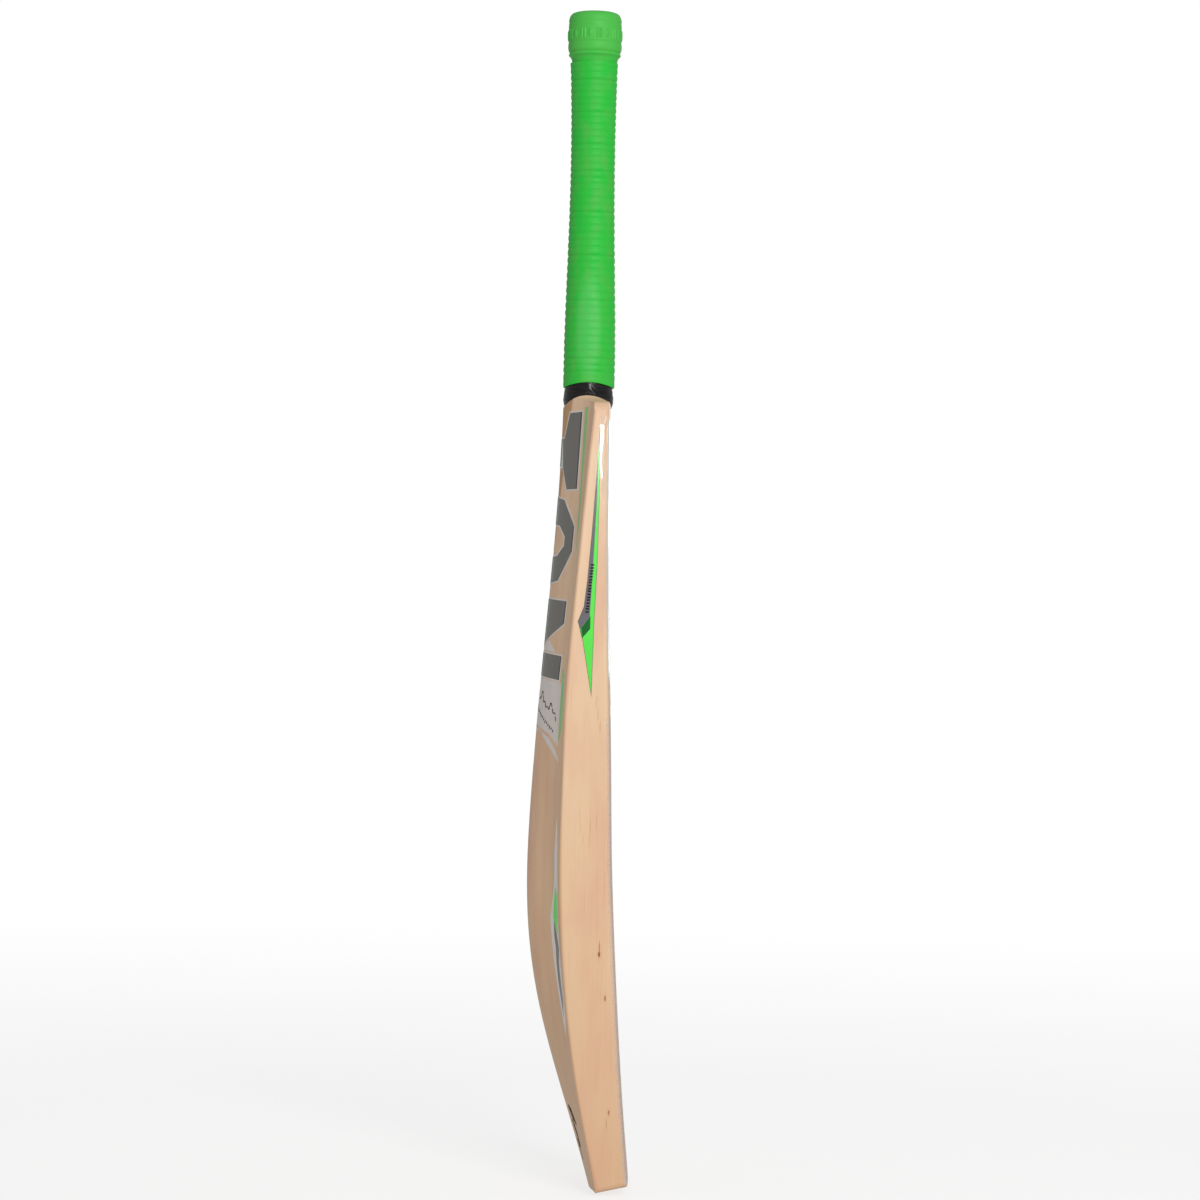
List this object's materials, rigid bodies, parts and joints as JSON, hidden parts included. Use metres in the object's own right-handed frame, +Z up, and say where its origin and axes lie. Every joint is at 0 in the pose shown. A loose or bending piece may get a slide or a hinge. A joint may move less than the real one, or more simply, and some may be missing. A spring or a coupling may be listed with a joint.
{
  "type": "cricket bat",
  "caption": "Full size cricket bat with a willow blade, a spliced cane handle in a ribbed green rubber grip, black shoulder tape and plain geometric stickers.",
  "frame": {"origin": "on the handle's axis, level with the lowest point of the toe, which is the middle of the underside of the bounding box", "axes": "+Z up the handle's axis, from toe to grip; +Y from the face to the back; +X across the blade, so that the face looks along -Y"},
  "size_m": [0.1084, 0.0776, 0.855],
  "materials": {
    "willow": "oiled and lightly lacquered",
    "cane": "sanded",
    "spring_rubber": "matt",
    "string": "waxed twine",
    "black_tape": "gloss",
    "grip_rubber": "satin",
    "sticker_dark": "satin film",
    "sticker_grey": "satin film",
    "sticker_green": "satin film",
    "clear_sheet": "fine textured clear film"
  },
  "bodies": {
    "root": {"blade": "willow", "cane_face_left": "cane", "cane_face_middle": "cane", "cane_face_right": "cane", "cane_inner_face_left": "cane", "cane_inner_face_middle": "cane", "cane_inner_face_right": "cane", "cane_inner_back_left": "cane", "cane_inner_back_middle": "cane", "cane_inner_back_right": "cane", "cane_back_left": "cane", "cane_back_middle": "cane", "cane_back_right": "cane", "rubber_spring_face": "spring_rubber", "rubber_spring_middle": "spring_rubber", "rubber_spring_back": "spring_rubber", "string_binding": "string", "shoulder_tape": "black_tape", "rubber_grip": "grip_rubber", "back_plate": "sticker_dark", "back_ring": "sticker_dark", "back_shield": "sticker_dark", "back_bar": "sticker_dark", "back_label": "sticker_grey", "back_chevron": "sticker_grey", "back_pinstripe_left": "sticker_green", "back_pinstripe_right": "sticker_green", "back_trim_left": "sticker_green", "back_trim_right": "sticker_green", "lower_blade_sticker_left": "sticker_green", "lower_blade_sticker_right": "sticker_green", "edge_sticker_left": "sticker_green", "edge_sticker_right": "sticker_green", "face_label": "sticker_grey", "face_sheet": "clear_sheet"}
  },
  "joints": []
}
